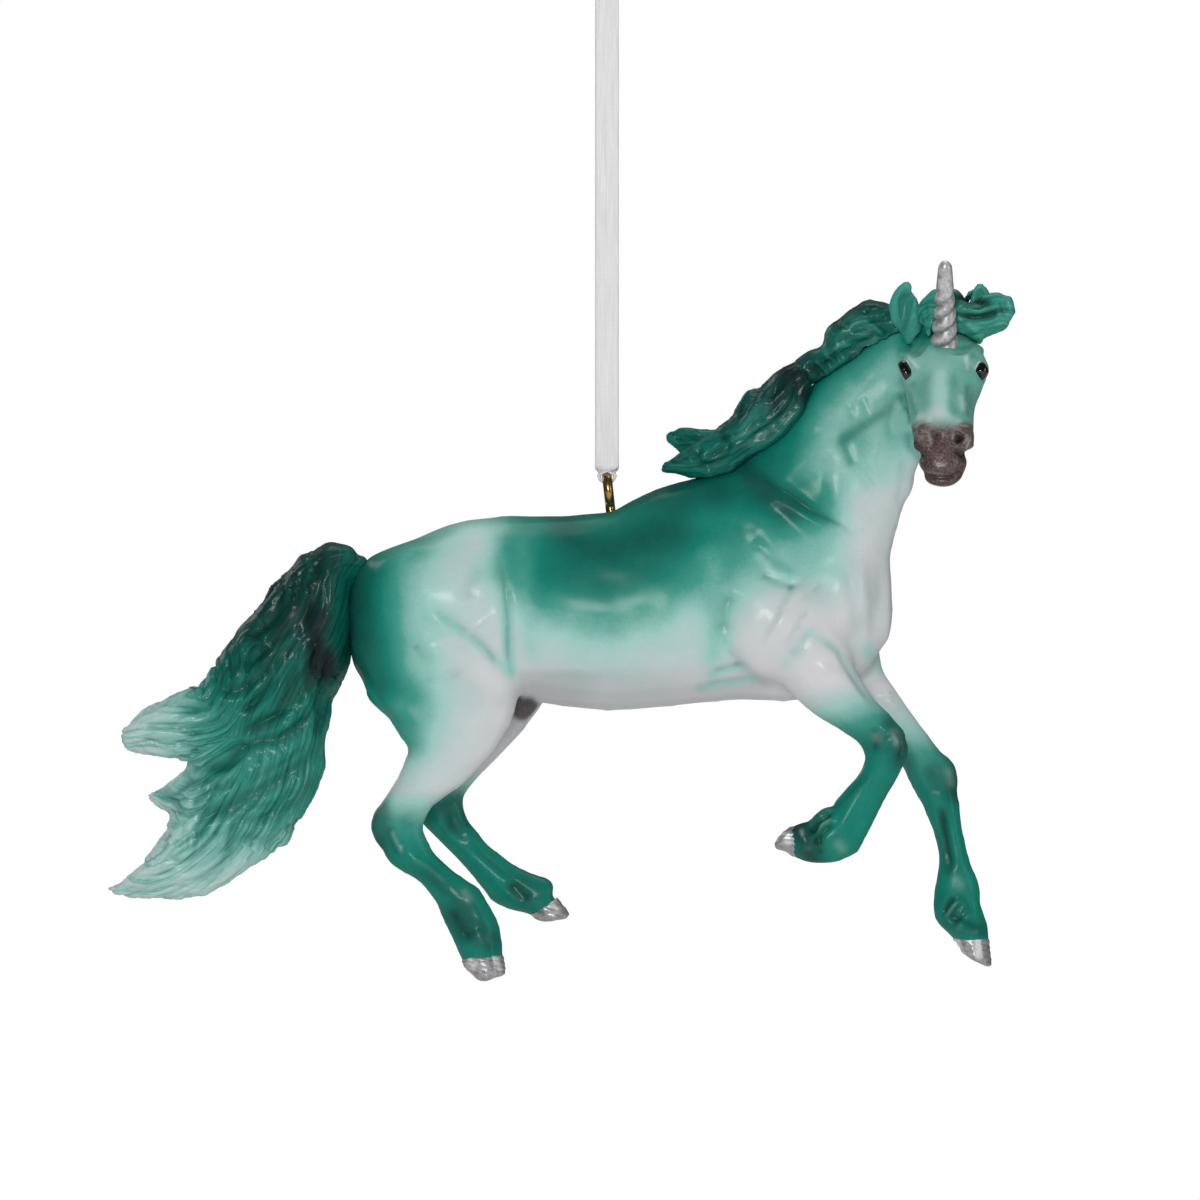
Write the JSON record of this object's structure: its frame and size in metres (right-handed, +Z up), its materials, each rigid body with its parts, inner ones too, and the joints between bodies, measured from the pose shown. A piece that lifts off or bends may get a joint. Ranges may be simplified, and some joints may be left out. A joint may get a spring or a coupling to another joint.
{
  "type": "horse christmas ornament",
  "caption": "Hanging holiday figure of a cantering unicorn, head turned to its right, held by a screw eye in its back on a loop of flat ribbon.",
  "frame": {"origin": "the hang point: inside the top of the ribbon loop, right under its knot", "axes": "+X from the tail towards the chest, -Y the side that the face is turned to, +Z up along the hanging ribbon"},
  "size_m": [0.1208, 0.0352, 0.1547],
  "materials": {
    "pearl_hide": "airbrushed pearl green over pale pearl grey, gloss clear coat",
    "dark_hair": "dark green gloss paint with mint tips",
    "silver_paint": "pale silver paint under gloss clear coat",
    "eye_black": "gloss black paint",
    "brass_wire": "polished brass plate",
    "white_ribbon": "woven satin ribbon, white"
  },
  "bodies": {
    "hanger": {"ribbon_knot": "white_ribbon"},
    "ribbon": {"ribbon_front_run": "white_ribbon", "ribbon_back_run": "white_ribbon"},
    "fold": {"ribbon_fold": "white_ribbon"},
    "eye": {"screw_eye": "brass_wire"},
    "figure": {"barrel": "pearl_hide", "neck": "pearl_hide", "head": "pearl_hide", "right_hindleg": "pearl_hide", "left_hindleg": "pearl_hide", "right_foreleg": "pearl_hide", "left_foreleg": "pearl_hide", "right_ear": "pearl_hide", "left_ear": "pearl_hide", "forelock": "dark_hair", "mane_upper": "dark_hair", "mane_lower": "dark_hair", "mane_flyaway": "dark_hair", "tail": "dark_hair", "right_hind_hoof": "silver_paint", "left_hind_hoof": "silver_paint", "right_fore_hoof": "silver_paint", "left_fore_hoof": "silver_paint", "horn": "silver_paint", "right_eye": "eye_black", "left_eye": "eye_black"}
  },
  "joints": [
    {"name": "ribbon_twist", "type": "hinge", "parent": "hanger", "child": "ribbon", "pos_m": [0, 0, 0], "axis": [0, 0, 1], "range_deg": [-90, 90]},
    {"name": "side_swing", "type": "hinge", "parent": "ribbon", "child": "fold", "pos_m": [0, 0, -0.07], "axis": [1, 0, 0], "range_deg": [-25, 25]},
    {"name": "fore_aft_swing", "type": "hinge", "parent": "fold", "child": "eye", "pos_m": [0, 0, -0.076], "axis": [0, 1, 0], "range_deg": [-30, 35]},
    {"name": "eye_turn", "type": "hinge", "parent": "eye", "child": "figure", "pos_m": [0.00048, 0, -0.08041], "axis": [-0.108, 0, 0.9942], "range_deg": [-45, 45]}
  ]
}
